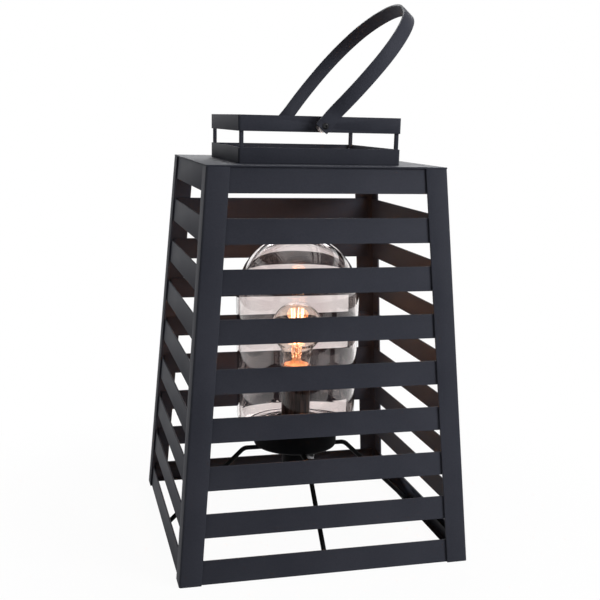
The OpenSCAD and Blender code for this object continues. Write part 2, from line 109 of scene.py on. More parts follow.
class Channel:
    """A value socket that Python's arithmetic works on, where each operation adds one Math node."""

    def __init__(self, bench: "ShaderBench", socket: Socket) -> None:
        """Keeps the socket with the bench that it belongs to."""
        self.bench = bench
        self.socket = socket

    def _math(self, operation: str, first: Number, second: Number) -> "Channel":
        """Returns the result of a Math node on two operands."""
        made = self.bench.node("ShaderNodeMath", {"operation": operation}, {0: first, 1: second})
        return Channel(self.bench, made.outputs[0])

    def __add__(self, other: Number) -> "Channel":
        """Returns self + other."""
        return self._math("ADD", self, other)

    __radd__ = __add__

    def __sub__(self, other: Number) -> "Channel":
        """Returns self - other."""
        return self._math("SUBTRACT", self, other)

    def __rsub__(self, other: Number) -> "Channel":
        """Returns other - self."""
        return self._math("SUBTRACT", other, self)

    def __mul__(self, other: Number) -> "Channel":
        """Returns self * other."""
        return self._math("MULTIPLY", self, other)

    __rmul__ = __mul__

    def __truediv__(self, other: Number) -> "Channel":
        """Returns self / other."""
        return self._math("DIVIDE", self, other)

    def __rtruediv__(self, other: Number) -> "Channel":
        """Returns other / self."""
        return self._math("DIVIDE", other, self)

    def __pow__(self, power: Number) -> "Channel":
        """Returns self to a power."""
        return self._math("POWER", self, power)

    def larger(self, other: Number) -> "Channel":
        """Returns the larger of self and other."""
        return self._math("MAXIMUM", self, other)

    def ease(self, low: float, high: float) -> "Channel":
        """Makes a smooth step.

        Args:
            low: Where the result is 0.
            high: Where the result is 1.

        Returns:
            The step, from 0 to 1.
        """
        made = self.bench.node(
            "ShaderNodeMapRange",
            {"interpolation_type": "SMOOTHSTEP", "clamp": True},
            {"Value": self, "From Min": low, "From Max": high},
        )
        return Channel(self.bench, made.outputs[0])


class ShaderBench:
    """One node tree, and the calls that add nodes to it."""

    def __init__(self, tree: bpy.types.NodeTree) -> None:
        """Takes over a material's or the world's tree and empties it."""
        self.tree = tree
        tree.nodes.clear()

    @classmethod
    def for_material(cls, name: str) -> Tuple["ShaderBench", bpy.types.Material]:
        """Starts a material.

        Args:
            name: The material's name.

        Returns:
            The bench and the material.
        """
        material = bpy.data.materials.new(name)
        material.use_nodes = True
        return cls(material.node_tree), material

    def node(
        self,
        kind: str,
        settings: Optional[Mapping[str, object]] = None,
        inputs: Optional[Mapping[Union[str, int], Entry]] = None,
    ) -> bpy.types.Node:
        """Adds a node, with its settings first and its inputs after them.

        Args:
            kind: The node's type.
            settings: Its properties by name.
            inputs: A value or a link for each socket, by name or number.

        Returns:
            The node.
        """
        made = self.tree.nodes.new(kind)
        for name, value in (settings or {}).items():
            setattr(made, name, value)
        for key, value in (inputs or {}).items():
            socket = made.inputs[key]
            source = value.socket if isinstance(value, Channel) else value
            if isinstance(source, Socket):
                self.tree.links.new(source, socket)
            elif socket.type == "RGBA" and len(source) == 3:
                socket.default_value = (*source, 1.0)
            else:
                socket.default_value = source
        return made

    def place(self) -> Socket:
        """Returns the point's place on the object, in metres."""
        return self.node("ShaderNodeTexCoord").outputs["Object"]

    def axes(self) -> Tuple[Channel, Channel, Channel]:
        """Returns the place's x, y and z, in metres."""
        split = self.node("ShaderNodeSeparateXYZ", None, {0: self.place()})
        return tuple(Channel(self, out) for out in split.outputs)

    def noise(self, size: float, detail: float = 2.0, grain: Grain = Grain.CAST) -> Channel:
        """Adds a noise.

        Args:
            size: How wide its features are, in millimetres.
            detail: How many finer layers it has.
            grain: The way the surface was worked.

        Returns:
            The noise, from 0 to 1.
        """
        mapped = self.node("ShaderNodeMapping", None, {"Vector": self.place(), "Scale": grain.value})
        made = self.node(
            "ShaderNodeTexNoise",
            {"noise_dimensions": "3D"},
            {"Vector": mapped.outputs[0], "Scale": 1.0 / (size * MM), "Detail": detail},
        )
        return Channel(self, made.outputs[0])

    def blend(self, amount: Number, first: Entry, second: Entry) -> Socket:
        """Returns a blend of two colours, where an amount of 1 gives the second."""
        settings = {"data_type": "RGBA", "clamp_factor": True}
        return self.node("ShaderNodeMix", settings, {0: amount, 6: first, 7: second}).outputs[2]

    def bump(self, height: Channel, depth: float, strength: float = 1.0) -> Socket:
        """Returns a normal from a height, whose 1 stands for the depth in millimetres."""
        inputs = {"Height": height, "Distance": depth * MM, "Strength": strength}
        return self.node("ShaderNodeBump", None, inputs).outputs[0]

    def principled(self, inputs: Mapping[str, Entry]) -> Socket:
        """Returns the main shader, with values and links for its sockets."""
        return self.node("ShaderNodeBsdfPrincipled", {"distribution": "MULTI_GGX"}, inputs).outputs[0]

    def mix_shaders(self, amount: Number, first: Entry, second: Entry) -> Socket:
        """Returns a mix of two shaders, where an amount of 1 gives the second."""
        return self.node("ShaderNodeMixShader", None, {0: amount, 1: first, 2: second}).outputs[0]

    def seen_rays(self) -> Channel:
        """Returns 1 for rays that look straight, mirrored or through glass, and 0 for others."""
        path = self.node("ShaderNodeLightPath")
        names = ("Is Camera Ray", "Is Glossy Ray", "Is Transmission Ray")
        camera, glossy, through = (Channel(self, path.outputs[name]) for name in names)
        return camera.larger(glossy).larger(through)

    def finish(self, shader: Entry, kind: str = "ShaderNodeOutputMaterial") -> None:
        """Joins a shader to the tree's output."""
        self.node(kind, None, {0: shader})


@dataclass(frozen=True)
class Finish:
    """The look of one kind of surface.

    Attributes:
        name: The material's name.
    """

    name: str

    def shader(self, bench: ShaderBench) -> Socket:
        """Returns the finish's shader, made on a bench."""
        raise NotImplementedError

    def material(self) -> bpy.types.Material:
        """Makes a material that has the finish.

        Returns:
            The material.
        """
        bench, made = ShaderBench.for_material(self.name)
        bench.finish(self.shader(bench))
        return made


@dataclass(frozen=True)
class PowderCoat(Finish):
    """Matt powder paint with its fine orange peel and faint clouds.

    Attributes:
        dark: The colour in the clouds' dark places.
        light: The colour in their light places.
        roughness: The mean roughness.
        shine: The strength of the clear sheen over the colour.
        peel: How wide the orange peel's dimples are, in millimetres.
        peel_depth: How deep they are, in millimetres.
        relief: How much of their relief is used.
        cloud: How wide the clouds are, in millimetres.
        grain: How wide the finest grain is, in millimetres.
    """

    dark: Colour
    light: Colour
    roughness: float = 0.5
    shine: float = 0.3
    peel: float = 0.7
    peel_depth: float = 0.035
    relief: float = 0.35
    cloud: float = 70.0
    grain: float = 1.3

    def shader(self, bench: ShaderBench) -> Socket:
        """Returns the paint's shader."""
        clouds = bench.noise(self.cloud, 3.0)
        grain = bench.noise(self.grain, 3.0)
        peel = bench.noise(self.peel, 2.0)
        tone = clouds * 0.6 + grain * 0.4
        colour = bench.blend(tone.ease(0.3, 0.7), self.dark, self.light)
        roughness = self.roughness + (clouds - 0.5) * 0.14 + (grain - 0.5) * 0.1
        return bench.principled(
            {
                "Base Color": colour,
                "Roughness": roughness,
                "Specular IOR Level": self.shine,
                "Normal": bench.bump(peel, self.peel_depth, self.relief),
            }
        )


@dataclass(frozen=True)
class BareMetal(Finish):
    """Metal without paint, with the lines that its working left and a little tarnish.

    Attributes:
        clean: The colour of clean metal.
        tarnish: The colour where it has dulled.
        grain: The way it was worked.
        roughness: The mean roughness.
        line: How wide the fine lines are, in millimetres.
        line_depth: How deep they are, in millimetres.
        patch: How wide the tarnished patches are, in millimetres.
    """

    clean: Colour
    tarnish: Colour
    grain: Grain = Grain.CAST
    roughness: float = 0.3
    line: float = 0.6
    line_depth: float = 0.02
    patch: float = 5.0

    def shader(self, bench: ShaderBench) -> Socket:
        """Returns the metal's shader."""
        lines = bench.noise(self.line, 2.0, self.grain)
        patches = bench.noise(self.patch, 3.0)
        dull = patches.ease(0.45, 0.75)
        return bench.principled(
            {
                "Base Color": bench.blend(dull, self.clean, self.tarnish),
                "Metallic": 1.0,
                "Roughness": self.roughness + dull * 0.15 + (lines - 0.5) * 0.2,
                "Normal": bench.bump(lines, self.line_depth, 0.5),
            }
        )


@dataclass(frozen=True)
class BlownGlass(Finish):
    """Clear glass that is slightly uneven, as mouth-blown glass is, and lets the lamps' light through.

    Attributes:
        clear: The colour of light that has passed through.
        veil: The colour in its faint veils.
        wave: How wide the unevenness is, in millimetres.
        wave_depth: How high it stands, in millimetres.
        shade: The colour of its shadow.
        veil_width: How many times wider the veils are than the unevenness.
        ior: The glass's index of refraction.
    """

    clear: Colour
    veil: Colour
    wave: float = 38.0
    wave_depth: float = 0.25
    shade: Colour = (0.9, 0.9, 0.9)
    veil_width: float = 1.4
    ior: float = 1.5

    def shader(self, bench: ShaderBench) -> Socket:
        """Returns the glass's shader."""
        wave = bench.noise(self.wave, 1.0, Grain.BLOWN)
        veil = bench.noise(self.wave * self.veil_width, 1.0, Grain.VEILED)
        glass = bench.principled(
            {
                "Base Color": bench.blend(veil.ease(0.35, 0.75), self.clear, self.veil),
                "Roughness": 0.0,
                "IOR": self.ior,
                "Transmission Weight": 1.0,
                "Normal": bench.bump(wave, self.wave_depth, 1.0),
            }
        )
        passed = bench.node("ShaderNodeBsdfTransparent", None, {"Color": self.shade}).outputs[0]
        path = bench.node("ShaderNodeLightPath")
        return bench.mix_shaders(path.outputs["Is Shadow Ray"], glass, passed)


@dataclass(frozen=True)
class Glow(Finish):
    """Something that glows in one colour low down and another higher up, with dark and bright specks.

    Attributes:
        low: The colour at the lower height.
        high: The colour at the upper height.
        low_z: The lower height, in millimetres.
        high_z: The upper height, in millimetres.
        strength: How bright it is.
        speckle: How much darker than the low colour its dark specks are.
        speck: How wide the specks are, in millimetres.
        spark: The colour of the bright specks.
    """

    low: Colour
    high: Colour
    low_z: float
    high_z: float
    strength: float
    speckle: float = 0.4
    speck: float = 1.6
    spark: Colour = (1.0, 0.8, 0.62)

    def shader(self, bench: ShaderBench) -> Socket:
        """Returns the glowing shader."""
        height = bench.axes()[2].ease(self.low_z * MM, self.high_z * MM)
        mottle = bench.noise(self.speck, 1.0)
        specks = mottle.ease(0.38, 0.56)
        sparks = mottle.ease(0.53, 0.60)
        glowing = bench.blend(height, self.low, self.high)
        dimmer = tuple(c * (1.0 - self.speckle) for c in self.low)
        mottled = bench.blend(specks, dimmer, glowing)
        return bench.principled(
            {
                "Base Color": bench.blend(specks, *UNLIT),
                "Roughness": 0.45 + specks * 0.1,
                "Emission Color": bench.blend(sparks, mottled, self.spark),
                "Emission Strength": self.strength,
            }
        )


@dataclass(frozen=True)
class Moulded(Finish):
    """A glossy moulded or glazed surface with faint flow streaks up and down.

    Attributes:
        dark: The colour in the dark streaks.
        light: The colour in the light streaks.
        roughness: The mean roughness.
        coat: How strong the glaze over it is.
        ripple: How deep its ripples are, in millimetres.
        shine: The strength of the sheen under the glaze.
        streak: How wide the streaks are, in millimetres.
        ripple_width: How wide the ripples are, in millimetres.
    """

    dark: Colour
    light: Colour
    roughness: float = 0.25
    coat: float = 0.0
    ripple: float = 0.03
    shine: float = 0.5
    streak: float = 14.0
    ripple_width: float = 6.0

    def shader(self, bench: ShaderBench) -> Socket:
        """Returns the moulded shader."""
        flow = bench.noise(self.streak, 3.0, Grain.STREAKED)
        ripple = bench.noise(self.ripple_width, 1.0, Grain.RIPPLED)
        return bench.principled(
            {
                "Base Color": bench.blend(flow.ease(0.3, 0.7), self.dark, self.light),
                "Roughness": self.roughness + (flow - 0.5) * 0.1,
                "Specular IOR Level": self.shine,
                "Coat Weight": self.coat,
                "Coat Roughness": 0.05,
                "Normal": bench.bump(ripple, self.ripple, 0.7),
            }
        )


class Palette:
    """Every finish of the lamp, each material made when it is first asked for."""

    FINISHES = {
        finish.name: finish
        for finish in (
            PowderCoat(
                "cage_powder", (0.024, 0.0255, 0.034), (0.032, 0.0335, 0.043),
                roughness=0.62, shine=0.08,
            ),
            PowderCoat(
                "black_powder", (0.0020, 0.0022, 0.0028), (0.0034, 0.0036, 0.0042),
                roughness=0.6, shine=0.05, peel=0.6, peel_depth=0.03,
            ),
            PowderCoat(
                "black_rivet", (0.005, 0.005, 0.006), (0.009, 0.009, 0.010),
                roughness=0.4, shine=0.25, peel=0.5, peel_depth=0.02,
            ),
            BareMetal("bare_steel", (0.88, 0.82, 0.80), (0.52, 0.46, 0.44), Grain.TURNED, 0.34, 0.8),
            BareMetal("cap_metal", (0.62, 0.58, 0.50), (0.36, 0.32, 0.26), Grain.TURNED, 0.28, 0.7),
            BareMetal("filament_wire", (0.66, 0.60, 0.52), (0.42, 0.34, 0.26), Grain.CAST, 0.3, 0.5),
            BareMetal("zinc_steel", (0.24, 0.24, 0.25), (0.09, 0.09, 0.09), Grain.CAST, 0.34, 0.7),
            BlownGlass("shade_glass", (0.90, 0.855, 0.845), (0.835, 0.765, 0.755)),
            BlownGlass(
                "bulb_glass", (1.0, 0.955, 0.91), (0.99, 0.92, 0.85),
                wave=16.0, wave_depth=0.12, shade=(0.97, 0.94, 0.9),
            ),
            Glow(
                "filament_glow", (0.11, 0.033, 0.011), (1.0, 0.86, 0.64), low_z=210.0, high_z=230.0,
                strength=9.0, speckle=0.8, speck=1.2, spark=(0.44, 0.28, 0.18),
            ),
            # The stem's glow is painted light: its glass is no lamp, and the emission stands in for the
            # filaments' light on it.
            Glow(
                "stem_painted_glow", (1.0, 0.3, 0.1), (0.06, 0.02, 0.01), low_z=180.8, high_z=183.5,
                strength=1.25, speckle=0.5, speck=2.0, spark=(0.28, 0.11, 0.05),
            ),
            # The holder's light streaks are partly real flow streaks and partly painted warm light from
            # the bulb.
            Moulded(
                "holder_black", (0.001, 0.0008, 0.0008), (0.050, 0.030, 0.024),
                roughness=0.42, shine=0.06, streak=3.6,
            ),
            Moulded("cap_insulator", (0.006, 0.006, 0.008), (0.012, 0.011, 0.013), 0.12, 0.5),
            Moulded("porcelain", (0.70, 0.68, 0.63), (0.80, 0.78, 0.73), 0.22, 0.6, 0.02),
        )
    }

    def __init__(self) -> None:
        """Starts with no material made."""
        self._made: Dict[str, bpy.types.Material] = {}

    def material(self, name: str) -> bpy.types.Material:
        """Gives a finish's material.

        Args:
            name: The finish's name.

        Returns:
            The material.
        """
        if name not in self._made:
            self._made[name] = self.FINISHES[name].material()
        return self._made[name]


def arc(centre: Point, radius: float, start: float, end: float, steps: int) -> List[Point]:
    """Returns the points of an arc in so many steps, both ends among them, with angles in degrees."""
    angles = [math.radians(start + (end - start) * i / steps) for i in range(steps + 1)]
    return [(centre[0] + radius * math.cos(a), centre[1] + radius * math.sin(a)) for a in angles]


def level_ring(radius: float, z: float, steps: int) -> List[Vector]:
    """Makes a level ring of points round the lamp's upright middle line.

    Args:
        radius: The ring's radius; 0 gives a single point, a pole.
        z: Its height.
        steps: How many points go round.

    Returns:
        The points.
    """
    if radius < 1e-6:
        return [Vector((0.0, 0.0, z))]
    turns = [2.0 * math.pi * i / steps for i in range(steps)]
    return [Vector((radius * math.cos(a), radius * math.sin(a), z)) for a in turns]


def placed(name: str, data: bpy.types.ID) -> Piece:
    """Puts a mesh, a light or a camera into the scene.

    Args:
        name: The object's name.
        data: What it shows.

    Returns:
        The object.
    """
    made = bpy.data.objects.new(name, data)
    bpy.context.scene.collection.objects.link(made)
    return made


def rows_to_mesh(
    name: str, rows: Sequence[Sequence[Vector]], close_rows: bool, crease: float
) -> Piece:
    """Makes an object from rings of points, each joined to the next.

    Args:
        name: The object's name.
        rows: The rings, in millimetres; a ring of one point is a pole.
        close_rows: True if the last ring joins the first.
        crease: The angle past which an edge stays sharp, in degrees.

    Returns:
        The object.
    """
    bm = bmesh.new()
    rings = [[bm.verts.new(point * MM) for point in row] for row in rows]
    for lower, upper in zip(rings, rings[1:] + (rings[:1] if close_rows else [])):
        count = max(len(lower), len(upper))
        for i in range(count):
            places = ((lower, i), (lower, i + 1), (upper, i + 1), (upper, i))
            unique = list(dict.fromkeys(row[k % count % len(row)] for row, k in places))
            if len(unique) > 2:
                bm.faces.new(unique)
    return mesh_object(name, bm, crease)


def mesh_object(name: str, bm: bmesh.types.BMesh, crease: float) -> Piece:
    """Turns edited geometry into a smooth-shaded object of the scene.

    Args:
        name: The object's name.
        bm: The geometry, which is freed.
        crease: The angle past which an edge stays sharp, in degrees.

    Returns:
        The object.
    """
    bmesh.ops.recalc_face_normals(bm, faces=bm.faces)
    mesh = bpy.data.meshes.new(name)
    bm.to_mesh(mesh)
    bm.free()
    mesh.shade_smooth()
    mesh.set_sharp_from_angle(angle=math.radians(crease))
    return placed(name, mesh)


def lathe(
    name: str, outline: Sequence[Point], steps: int, closed: bool = True, crease: float = 35.0
) -> Piece:
    """Turns an outline of radii and heights, in millimetres, round the lamp's upright middle line."""
    return rows_to_mesh(name, [level_ring(r, z, steps) for r, z in outline], closed, crease)


def tube_rows(points: Sequence[Vector], radii: Sequence[float], sides: int) -> List[List[Vector]]:
    """Makes the rings of a wire with pointed ends.

    Args:
        points: The line that the wire follows, in millimetres.
        radii: The wire's radius at its points, taken again from the first when they run out.
        sides: How many sides it has.

    Returns:
        The rings, with a pole at each end.
    """
    rows: List[List[Vector]] = [[points[0]]]
    turns = [2.0 * math.pi * k / sides for k in range(sides)]
    upright = Vector((0.0, 0.0, 1.0))
    for i, point in enumerate(points):
        ahead = (points[min(i + 1, len(points) - 1)] - points[max(i - 1, 0)]).normalized()
        across = ahead.orthogonal().normalized()
        if i and abs(ahead.dot(upright)) < 0.99:
            across = ahead.cross(upright).normalized()
        beside = ahead.cross(across)
        radius = radii[i % len(radii)]
        rows.append([point + (across * math.cos(a) + beside * math.sin(a)) * radius for a in turns])
    rows.append([points[-1]])
    return rows


def join(name: str, parts: Sequence[Piece]) -> Piece:
    """Joins objects into one.

    Args:
        name: The joined object's name.
        parts: The objects, which go.

    Returns:
        The joined object.
    """
    bm = bmesh.new()
    for part in parts:
        bm.from_mesh(part.data)
        bpy.data.objects.remove(part)
    return mesh_object(name, bm, 35.0)


@dataclass
class Workshop:
    """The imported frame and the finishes, and the calls that every sub-assembly makes its pieces with.

    Attributes:
        palette: The lamp's finishes.
        count: How many pieces have been made.
    """

    frame: Mapping[str, object]
    palette: Palette = field(default_factory=Palette)
    count: int = 0

    def dress(
        self, piece: Piece, finish: str, body: Body, slot: str, nodes: Iterable[str] = ()
    ) -> Piece:
        """Gives a piece its finish and its body, and hides the nodes that it stands for.

        Args:
            piece: The piece.
            finish: The finish's name.
            body: The body that it rides on.
            slot: Not used.
            nodes: The nodes of the solid model that it stands for.

        Returns:
            The piece.
        """
        piece.data.materials.clear()
        piece.data.materials.append(self.palette.material(finish))
        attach(piece, body.value)
        if nodes:
            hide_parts(*nodes)
        self.count += 1
        LOG.info("piece %s: %s, on %s", piece.name, finish, body.value)
        return piece

    @staticmethod
    def bend_fold(piece: Piece, radius: float) -> None:
        """Rounds the one long edge that lies furthest out, where a post's sheet is folded.

        Args:
            piece: The piece.
            radius: The fold's outer radius, in millimetres.
        """
        mesh = piece.data
        spans = [[mesh.vertices[i].co for i in edge.vertices] for edge in mesh.edges]
        longest = max((a - b).length for a, b in spans)
        reach = [
            abs(a.x + b.x) + abs(a.y + b.y) if (a - b).length > 0.9 * longest else 0.0
            for a, b in spans
        ]
        weights = mesh.attributes.new("bevel_weight_edge", "FLOAT", "EDGE")
        weights.data[reach.index(max(reach))].value = 1.0
        bend = piece.modifiers.new("fold", "BEVEL")
        bend.width = radius * MM
        bend.segments = 6
        bend.limit_method = "WEIGHT"
        bend.harden_normals = True

    def arrised(self, node: str, width: float, fold: float) -> Piece:
        """Copies a node's solid with its sharp edges rounded, as paint and tumbling leave them.

        Args:
            node: The node's name.
            width: How wide the rounding is, in millimetres.
            fold: The outer radius of its fold, in millimetres, or 0 where it has none.

        Returns:
            The rounded copy.
        """
        bm = bmesh.new()
        bm.from_mesh(self.frame["nodes"][node].data)
        bmesh.ops.remove_doubles(bm, verts=bm.verts, dist=WELD)
        bmesh.ops.dissolve_limit(bm, angle_limit=math.radians(FLAT), verts=bm.verts, edges=bm.edges)
        rough = mesh_object(node + "_rough", bm, 180.0)
        if fold:
            self.bend_fold(rough, fold)
        edge = rough.modifiers.new("arris", "BEVEL")
        edge.width = width * MM
        edge.segments = 2
        edge.limit_method = "ANGLE"
        edge.angle_limit = math.radians(SHARP)
        edge.harden_normals = True
        bpy.context.view_layer.update()
        graph = bpy.context.evaluated_depsgraph_get()
        shaped = bpy.data.meshes.new_from_object(rough.evaluated_get(graph))
        bpy.data.objects.remove(rough)
        return placed(node + "_dressed", shaped)

    def dress_node(
        self, node: str, finish: str, arris: float, body: Body = Body.ROOT, fold: float = 0.0
    ) -> Piece:
        """Puts a rounded copy in a node's place, with its finish."""
        return self.dress(self.arrised(node, arris, fold), finish, body, finish, [node])


@dataclass
class Assembly:
    """A sub-assembly of the lamp.

    Attributes:
        shop: Where its pieces are made.
    """

    shop: Workshop


@dataclass
class Cage(Assembly):
    """The lantern's leaning walls: four corner posts, nine slats a side, and the plate over them.

    Attributes:
        slats: How many slats each side has.
        post_fold: The outer radius of the posts' fold.
        post_arris: The rounding of the posts' cut edges.
        slat_arris: The rounding of the slats' edges.
        finish: The paint.
    """

    slats: int = 9
    post_fold: float = 2.5
    post_arris: float = 0.4
    slat_arris: float = 0.35
    finish: str = "cage_powder"

    def build(self) -> None:
        """Makes and dresses the posts, the slats and the top plate."""
        for corner in CORNERS:
            self.shop.dress_node(f"post_{corner}", self.finish, self.post_arris, fold=self.post_fold)
        for side in SIDES:
            for row in range(1, self.slats + 1):
                self.shop.dress_node(f"slat_{side}_{row}", self.finish, self.slat_arris)
        self.shop.dress_node("top_plate", self.finish, self.slat_arris)


@dataclass
class Gallery(Assembly):
    """The square collar on the plate, and the rim that stands over it on four pillars.

    Attributes:
        arris: The rounding of the bands' edges.
        finish: The paint.
    """

    arris: float = 0.35
    finish: str = "cage_powder"

    def build(self) -> None:
        """Makes and dresses the collar, the pillars and the rim."""
        for node in ("collar", "rim", "pillars"):
            self.shop.dress_node(node, self.finish, self.arris)


@dataclass
class CarryHandle(Assembly):
    """The flat bent handle, with the spacer tubes and rivets that it swings on.

    Attributes:
        arris: The rounding of the strip's edges.
        small_arris: The rounding of the rivets' and spacers' edges.
    """

    arris: float = 0.4
    small_arris: float = 0.25

    def build(self) -> None:
        """Makes and dresses the handle, its spacers and its rivets."""
        self.shop.dress_node("handle", "cage_powder", self.arris, Body.HANDLE)
        self.shop.dress_node("handle_spacers", "bare_steel", self.small_arris)
        self.shop.dress_node("handle_rivets", "black_rivet", self.small_arris)


@dataclass
class GlassShade(Assembly):
    """The blown glass shade, a dome on a slightly tapered wall with a rounded heel and a short lip.

    Attributes:
        radius: The dome's outer radius.
        foot_radius: The wall's outer radius at the heel.
        dome_z: The height of the dome's centre.
        heel: The heel's outer radius of curvature.
        heel_z: The height of the heel's centre.
        wall: The glass's thickness.
        crown: How much thicker it is at the top.
        lip_radius: The outer radius of the lip round the bottom opening.
        lip_z: The height of the lip's edge.
        lip_bend: The radius of the bend between the lip and the bottom.
        steps: How many steps go round.
    """

    radius: float = 66.5
    foot_radius: float = 65.0
    dome_z: float = 256.0
    heel: float = 14.0
    heel_z: float = 125.5
    wall: float = 2.5
    crown: float = 2.0
    lip_radius: float = 43.3
    lip_z: float = 106.0
    lip_bend: float = 1.0
    steps: int = 144

    def skin(self, depth: float) -> List[Point]:
        """Makes one skin of the glass, from the lip to the top.

        Args:
            depth: How far the skin lies inside the outer one, in millimetres.

        Returns:
            The skin's points.
        """
        bend_x = self.lip_radius + self.lip_bend
        bend_z = self.heel_z - self.heel - self.lip_bend
        heel_x = self.foot_radius - self.heel
        points = arc((bend_x, bend_z), self.lip_bend + depth, 180.0, 90.0, 8)
        points += arc((heel_x, self.heel_z), self.heel - depth, -90.0, 0.0, 16)
        flat = 1.0 - self.crown * depth / self.wall / self.radius
        dome = arc((0.0, 0.0), self.radius - depth, 0.0, 90.0, 44)
        points += [(r, z * flat + self.dome_z) for r, z in dome]
        points[-1] = (0.0, points[-1][1])
        return points

    def outline(self) -> List[Point]:
        """Returns the closed outline, with the lip fire-polished."""
        middle = self.lip_radius - self.wall / 2.0
        edge = arc((middle, self.lip_z + self.wall / 2.0), self.wall / 2.0, 180.0, 360.0, 8)
        return edge + self.skin(0.0) + self.skin(self.wall)[::-1]

    def build(self) -> None:
        """Makes and dresses the glass."""
        shade = lathe("shade_blown", self.outline(), self.steps, True, 60.0)
        self.shop.dress(shade, "shade_glass", Body.SHADE, "shade_glass", ["glass_shade"])


@dataclass
class GlobeBulb(Assembly):
    """The globe bulb: thin glass, screw cap, and a ring of glowing filaments on a glass stem.

    Attributes:
        radius: The globe's outer radius.
        globe_z: The height of the globe's centre.
        shoulder: The radius of curvature of the shoulder under the globe.
        neck_radius: The neck's outer radius.
        neck_z: The height where the neck turns into the shoulder.
        foot_radius: The glass's outer radius where the cap holds it.
        foot_z: The height of the cap's top.
        wall: The glass's thickness.
        cap_radius: The cap's radius over the thread.
        cap_z: The height of the cap's lower edge.
        pitch: The thread's pitch.
        thread: The thread's depth.
        thread_low: How far over the cap's lower edge the thread starts.
        thread_high: How far under the cap's top it ends.
        run_out: How long it takes to fade at its ends.
        tip_z: The height of the contact's lowest point.
        sticks: How many filaments there are.
        ring: How far they stand from the middle line at the foot.
        flare: How much further they stand at the top.
        lean: How far round their tops are turned, in degrees.
        bead: The radius of the beads on a filament.
        thread_wire: The filament's radius between its beads.
        stick_low: The height of a filament's lower end.
        stick_high: The height of its upper end.
        rings: How many rings of points a filament has, three to each bead.
        first: How far round the first filament stands, as a share of the step between two.
        spider_rises: How far a spider's wires rise from the filaments' lower and upper ends.
        spider_line: The points along a wire, as shares of its rise and of the way to the middle.
        spider_wire: The wire's radius.
        seat: The gap between the stem and the glass and cap round its foot.
        stem_edge: The thickness of the stem's foot.
        stem_flare: The radius of curvature of its flare.
        stem_neck: Radii of the stem over the flare, and how far over it they are.
        stem_tip: The stem's radius at its tip.
    """

    radius: float = 28.0
    globe_z: float = 221.5
    shoulder: float = 14.0
    neck_radius: float = 16.6
    neck_z: float = 192.73
    foot_radius: float = 14.5
    foot_z: float = 180.0
    wall: float = 0.7
    cap_radius: float = 13.1
    cap_z: float = 156.0
    pitch: float = 3.6
    thread: float = 0.7
    thread_low: float = 1.2
    thread_high: float = 4.4
    run_out: float = 2.0
    tip_z: float = 151.0
    sticks: int = 9
    ring: float = 4.8
    flare: float = 1.8
    lean: float = 14.0
    bead: float = 0.8
    thread_wire: float = 0.22
    stick_low: float = 188.0
    stick_high: float = 243.0
    rings: int = 54
    first: float = 0.25
    spider_rises: Span = (-2.0, 1.2)
    spider_line: Tuple[Point, ...] = ((1.0, 0.85), (0.9, 0.4), (0.4, 0.1), (0.0, 0.0))
    spider_wire: float = 0.35
    seat: float = 0.4
    stem_edge: float = 0.8
    stem_flare: float = 10.0
    stem_neck: Tuple[Point, Point] = ((2.2, 1.4), (1.2, 1.8))
    stem_tip: float = 1.0

    def skin(self, depth: float) -> List[Point]:
        """Makes one skin of the glass, from its foot to the top.

        Args:
            depth: How far the skin lies inside the outer one, in millimetres.

        Returns:
            The skin's points.
        """
        bend_x = self.neck_radius + self.shoulder
        down = math.degrees(math.atan2(self.globe_z - self.neck_z, bend_x))
        points = [(self.foot_radius - depth, self.foot_z)]
        points += arc((bend_x, self.neck_z), self.shoulder + depth, 180.0, 180.0 - down, 14)
        points += arc((0.0, self.globe_z), self.radius - depth, -down, 90.0, 36)[1:]
        points[-1] = (0.0, points[-1][1])
        return points

    def envelope(self) -> Piece:
        """Returns the glass envelope."""
        return lathe("bulb_blown", self.skin(0.0) + self.skin(self.wall)[::-1], 96, True, 60.0)

    def cap(self) -> Piece:
        """Returns the screw cap, whose thread runs round it as one helix."""
        turns, levels = 48, 64
        root = self.cap_radius - self.thread
        low, high = self.cap_z + self.thread_low, self.foot_z - self.thread_high
        base = [(root - 1.6, self.cap_z), (root - 0.7, self.cap_z + 0.5)]
        rows = [level_ring(r, z, turns) for r, z in base]
        for i in range(levels + 1):
            z = low + (high - low) * i / levels
            fade = max(0.0, min(1.0, (z - low) / self.run_out, (high - z) / self.run_out))
            row = []
            for k in range(turns):
                turn = 2.0 * math.pi * k / turns
                wave = 0.5 - 0.5 * math.cos(2.0 * math.pi * (z / self.pitch) - turn)
                r = self.cap_radius - self.thread * (1.0 - wave * fade)
                row.append(Vector((r * math.cos(turn), r * math.sin(turn), z)))
            rows.append(row)
        top = self.foot_z
        rim = [(root, high + 0.6), (root - 0.1, top - 1.6), (self.cap_radius, top - 0.7)]
        rim += [(self.cap_radius - 0.1, top), (self.cap_radius - 0.5, top)]
        rows += [level_ring(r, z, turns) for r, z in rim]
        return rows_to_mesh("bulb_cap_threaded", rows, False, 40.0)

    def contact(self) -> Piece:
        """Returns the solder contact under the cap."""
        top = self.tip_z + 2.2
        edge = [(0.0, self.tip_z)] + arc((2.8, self.tip_z + 1.2), 1.2, -90.0, 0.0, 5)
        return lathe("bulb_contact", edge + [(3.6, top), (0.0, top)], 32, False)

    def insulator(self) -> Piece:
        """Returns the black glass between the cap and its contact."""
        low, top = self.tip_z + 2.0, self.cap_z + 0.2
        edge = [(0.0, low), (3.8, low), (5.2, low + 0.4), (9.6, top - 0.8), (10.6, top), (0.0, top)]
        return lathe("bulb_insulator", edge, 40, False)

